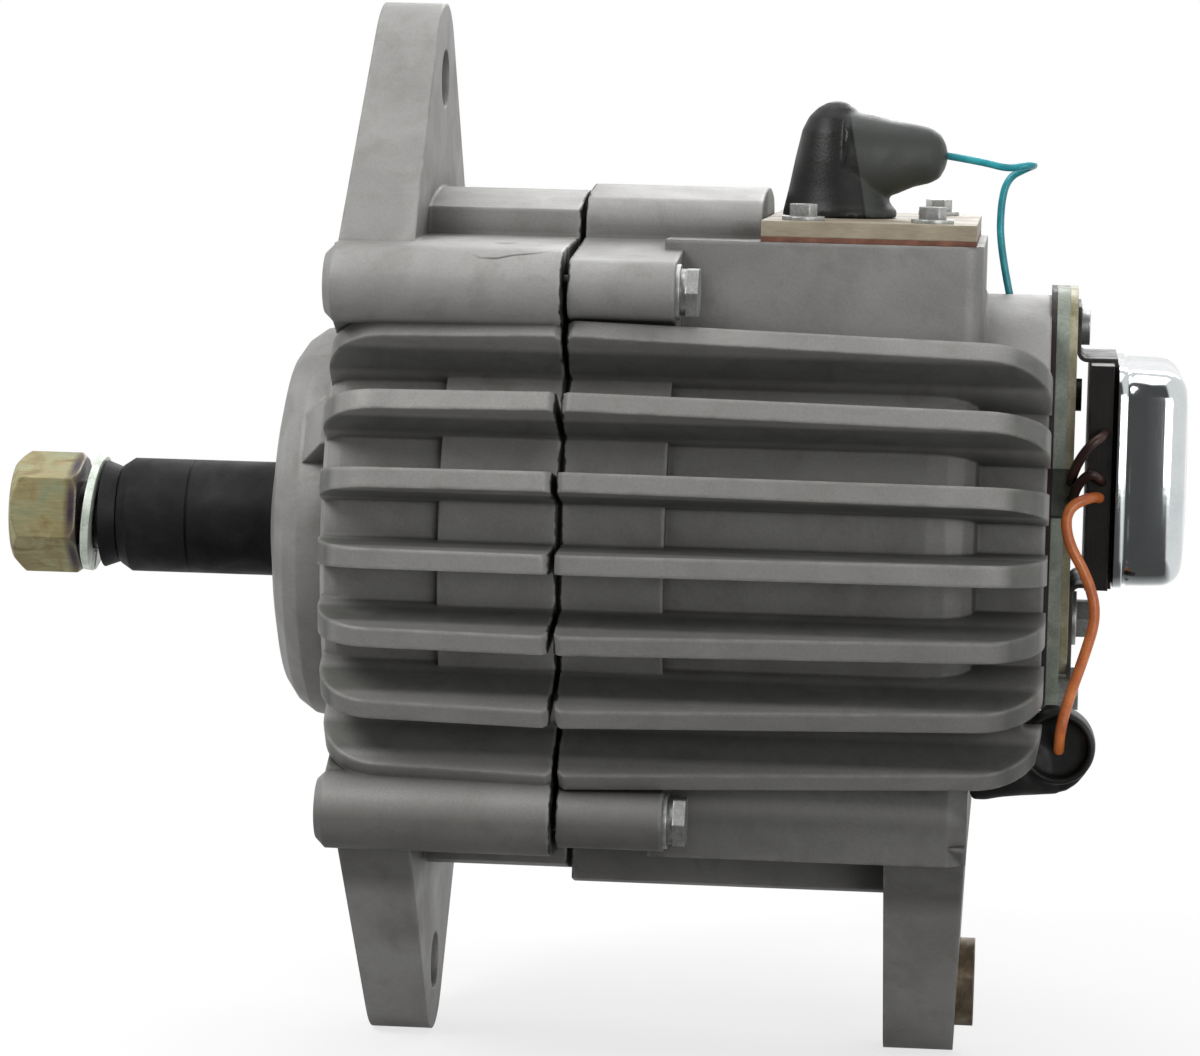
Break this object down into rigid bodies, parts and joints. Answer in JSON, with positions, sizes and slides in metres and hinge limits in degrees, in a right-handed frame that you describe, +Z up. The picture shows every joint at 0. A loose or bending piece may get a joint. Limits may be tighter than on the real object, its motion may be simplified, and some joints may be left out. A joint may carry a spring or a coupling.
{
  "type": "sealed alternator",
  "caption": "Belt-driven alternator with finned cast housings, adjusting ear, two mounting feet, shaft with spacers and nut, and a boxed regulator on its end.",
  "frame": {"origin": "on the shaft axis in the drive end face of the front housing", "axes": "+X along the shaft toward the regulator end, +Z up to the adjusting ear, -Y to the side with the leads"},
  "size_m": [0.2661, 0.1576, 0.2349],
  "materials": {
    "cast_aluminium": "satin casting",
    "cast_aluminium_rear": "satin casting",
    "black_seal": "matte",
    "bright_steel": "bright zinc",
    "core_steel": "plain",
    "copper": "lacquered copper wire",
    "ring_copper": "polished copper",
    "bearing_steel": "ground",
    "ground_steel": "ground",
    "black_steel": "matte black oxide",
    "pale_washer": "pale zinc",
    "yellow_zinc": "yellow zinc",
    "carbon": "carbon",
    "black_plastic": "moulded",
    "brown_gasket": "fibre",
    "tan_plate": "fibre laminate",
    "black_rubber": "satin rubber",
    "pale_plate": "pale plated",
    "gold_zinc": "yellow zinc sheet",
    "dark_bracket": "dark plated",
    "chrome_can": "bright can",
    "bronze": "oiled bronze",
    "teal_lead": "insulation",
    "brown_lead": "insulation",
    "orange_lead": "insulation"
  },
  "bodies": {
    "housing": {"brush_holder": "black_plastic", "brush_spring_inner": "bright_steel", "brush_spring_outer": "bright_steel", "cover_plate": "gold_zinc", "cover_screws": "bright_steel", "field_lead_high": "brown_lead", "field_lead_low": "brown_lead", "front_bearing_outer_ring": "bearing_steel", "front_housing": "cast_aluminium", "joint_seal": "black_seal", "lower_boot": "black_rubber", "lower_stud": "bright_steel", "output_nut": "bright_steel", "output_stud": "bright_steel", "plate_grommet": "black_rubber", "rear_bearing": "bearing_steel", "rear_gasket": "brown_gasket", "rear_housing": "cast_aluminium_rear", "regulator_base": "black_plastic", "regulator_bracket": "dark_bracket", "regulator_can": "chrome_can", "regulator_lead": "orange_lead", "regulator_screws": "bright_steel", "sense_lead": "teal_lead", "spacer_plate": "pale_plate", "stator_core": "core_steel", "stator_windings": "copper", "terminal_boot": "black_rubber", "terminal_gasket": "brown_gasket", "terminal_plate": "tan_plate", "terminal_screws": "bright_steel", "through_bolts": "bright_steel"},
    "rotor": {"rotor_shaft": "ground_steel", "front_bearing_inner_ring": "bearing_steel", "spacer_sleeve_inner": "black_steel", "spacer_sleeve_outer": "black_steel", "spring_washer": "pale_washer", "lock_washer": "black_steel", "pulley_nut": "yellow_zinc", "rotor_pole_front": "core_steel", "rotor_pole_rear": "core_steel", "field_coil": "copper", "slip_ring_hub": "black_plastic", "slip_rings": "ring_copper"},
    "inner_brush": {"brush_inner": "carbon"},
    "outer_brush": {"brush_outer": "carbon"},
    "bushing": {"hinge_bushing": "bronze"}
  },
  "joints": [
    {"name": "rotor_spin", "type": "hinge", "parent": "housing", "child": "rotor", "pos_m": [0, 0, 0], "axis": [1, 0, 0], "continuous": true},
    {"name": "inner_brush_slide", "type": "slide", "parent": "housing", "child": "inner_brush", "axis": [0, 0, 1], "range_m": [0, 0.003], "stiffness_N_per_m": 300, "springref_m": -0.008, "deforming": ["brush_spring_inner"]},
    {"name": "outer_brush_slide", "type": "slide", "parent": "housing", "child": "outer_brush", "axis": [0, 0, 1], "range_m": [0, 0.003], "stiffness_N_per_m": 300, "springref_m": -0.008, "deforming": ["brush_spring_outer"]},
    {"name": "bushing_slide", "type": "slide", "parent": "housing", "child": "bushing", "axis": [1, 0, 0], "range_m": [-0.0034, 0.002]}
  ]
}
